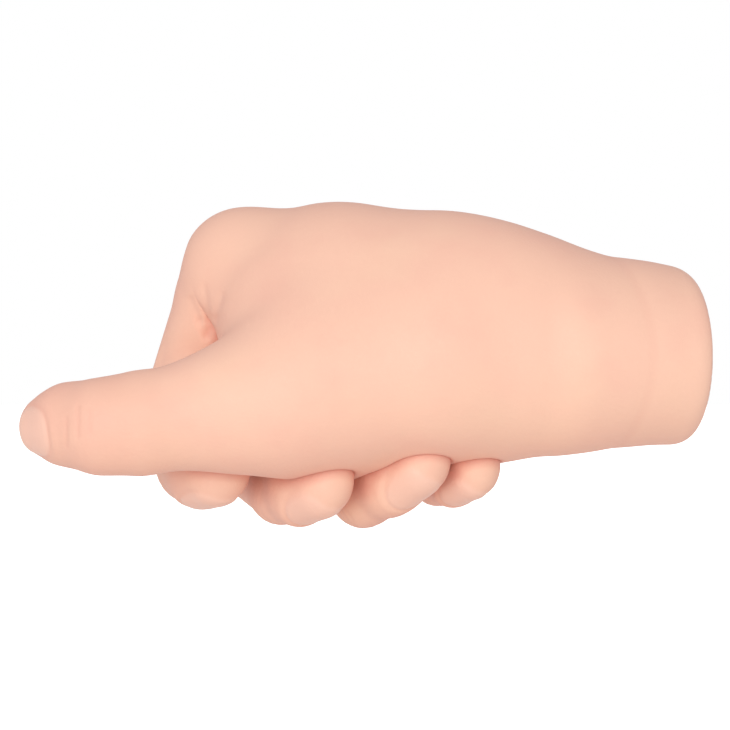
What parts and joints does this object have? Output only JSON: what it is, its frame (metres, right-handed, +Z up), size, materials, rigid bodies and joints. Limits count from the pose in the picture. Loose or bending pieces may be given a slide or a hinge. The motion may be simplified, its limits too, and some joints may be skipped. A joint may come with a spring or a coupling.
{
  "type": "prosthetic hand",
  "caption": "Passive posable right hand with a moulded silicone skin, curled friction-hinged fingers, an extended thumb and a turning wrist coupling.",
  "frame": {"origin": "centre of the wrist coupling's outer flat face, on the wrist's turning axis, 12 mm inside the rim of the skin's cuff", "axes": "+X out of the wrist towards the forearm, +Z up as the hand is shown with its knuckles up, +Y towards the curled fingers' knuckles, away from the thumb's side"},
  "size_m": [0.15, 0.0817, 0.0722],
  "materials": {
    "silicone_skin": "soft matte silicone, skin toned, faint mottling",
    "foam": "closed-cell moulded foam",
    "frame_nylon": "moulded, matte",
    "bone_nylon": "moulded, matte",
    "acetal": "turned, satin",
    "steel": "ground",
    "aluminium": "turned, clear anodised"
  },
  "bodies": {
    "wrist": {"stem_nut": "steel", "wrist_coupling": "aluminium"},
    "palm": {"cuff_liner": "frame_nylon", "friction_washer": "acetal", "index_base_pin": "steel", "index_base_washer": "acetal", "little_base_pin": "steel", "little_base_washer": "acetal", "middle_base_pin": "steel", "middle_base_washer": "acetal", "palm_core": "foam", "palm_frame": "frame_nylon", "palm_skin": "silicone_skin", "plate_screw_1": "steel", "plate_screw_2": "steel", "plate_screw_3": "steel", "ring_base_pin": "steel", "ring_base_washer": "acetal", "spring_washer": "steel", "thumb_base_pin": "steel", "thumb_base_washer": "acetal", "wrist_bush": "acetal", "wrist_plate": "aluminium"},
    "index_base": {"index_base_bone": "bone_nylon", "index_base_skin": "silicone_skin", "index_middle_pin": "steel"},
    "index_tip": {"index_tip_bone": "bone_nylon", "index_tip_skin": "silicone_skin"},
    "middle_base": {"middle_base_bone": "bone_nylon", "middle_base_skin": "silicone_skin", "middle_middle_pin": "steel"},
    "middle_tip": {"middle_tip_bone": "bone_nylon", "middle_tip_skin": "silicone_skin"},
    "ring_base": {"ring_base_bone": "bone_nylon", "ring_base_skin": "silicone_skin", "ring_middle_pin": "steel"},
    "ring_tip": {"ring_tip_bone": "bone_nylon", "ring_tip_skin": "silicone_skin"},
    "little_base": {"little_base_bone": "bone_nylon", "little_base_skin": "silicone_skin", "little_middle_pin": "steel"},
    "little_tip": {"little_tip_bone": "bone_nylon", "little_tip_skin": "silicone_skin"},
    "thumb_base": {"thumb_base_bone": "bone_nylon", "thumb_base_skin": "silicone_skin", "thumb_tip_pin": "steel"},
    "thumb_tip": {"thumb_tip_bone": "bone_nylon", "thumb_tip_skin": "silicone_skin"}
  },
  "joints": [
    {"name": "wrist_turn", "type": "hinge", "parent": "wrist", "child": "palm", "pos_m": [0, 0, 0], "axis": [1, 0, 0], "continuous": true},
    {"name": "index_knuckle", "type": "hinge", "parent": "palm", "child": "index_base", "pos_m": [-0.0824, 0.0355, 0.0206], "axis": [-0.9388, -0.2002, 0.2802], "range_deg": [-45, 0]},
    {"name": "index_middle", "type": "hinge", "parent": "index_base", "child": "index_tip", "pos_m": [-0.09511, 0.04541, -0.01491], "axis": [-0.9388, -0.2002, 0.2802], "range_deg": [-50, 0]},
    {"name": "middle_knuckle", "type": "hinge", "parent": "palm", "child": "middle_base", "pos_m": [-0.0642, 0.042, 0.0171], "axis": [-0.9237, -0.2479, 0.2919], "range_deg": [-45, 0]},
    {"name": "middle_middle", "type": "hinge", "parent": "middle_base", "child": "middle_tip", "pos_m": [-0.07818, 0.04959, -0.02069], "axis": [-0.9237, -0.2479, 0.2919], "range_deg": [-50, 0]},
    {"name": "ring_knuckle", "type": "hinge", "parent": "palm", "child": "ring_base", "pos_m": [-0.0459, 0.0444, 0.0121], "axis": [-0.891, -0.27, 0.365], "range_deg": [-45, 0]},
    {"name": "ring_middle", "type": "hinge", "parent": "ring_base", "child": "ring_tip", "pos_m": [-0.06067, 0.04585, -0.02288], "axis": [-0.891, -0.27, 0.365], "range_deg": [-50, 0]},
    {"name": "little_knuckle", "type": "hinge", "parent": "palm", "child": "little_base", "pos_m": [-0.0298, 0.0431, 0.0071], "axis": [-0.9135, -0.1839, 0.3628], "range_deg": [-45, 0]},
    {"name": "little_middle", "type": "hinge", "parent": "little_base", "child": "little_tip", "pos_m": [-0.04087, 0.0431, -0.02078], "axis": [-0.9135, -0.1839, 0.3628], "range_deg": [-50, 0]},
    {"name": "thumb_swing", "type": "hinge", "parent": "palm", "child": "thumb_base", "pos_m": [-0.0842, 0.0025, -0.0115], "axis": [0.1617, 0.1411, -0.9767], "range_deg": [-25, 0]},
    {"name": "thumb_bend", "type": "hinge", "parent": "thumb_base", "child": "thumb_tip", "pos_m": [-0.1205, 0.0095, -0.0165], "axis": [0.1617, 0.1411, -0.9767], "range_deg": [-35, 15]}
  ]
}
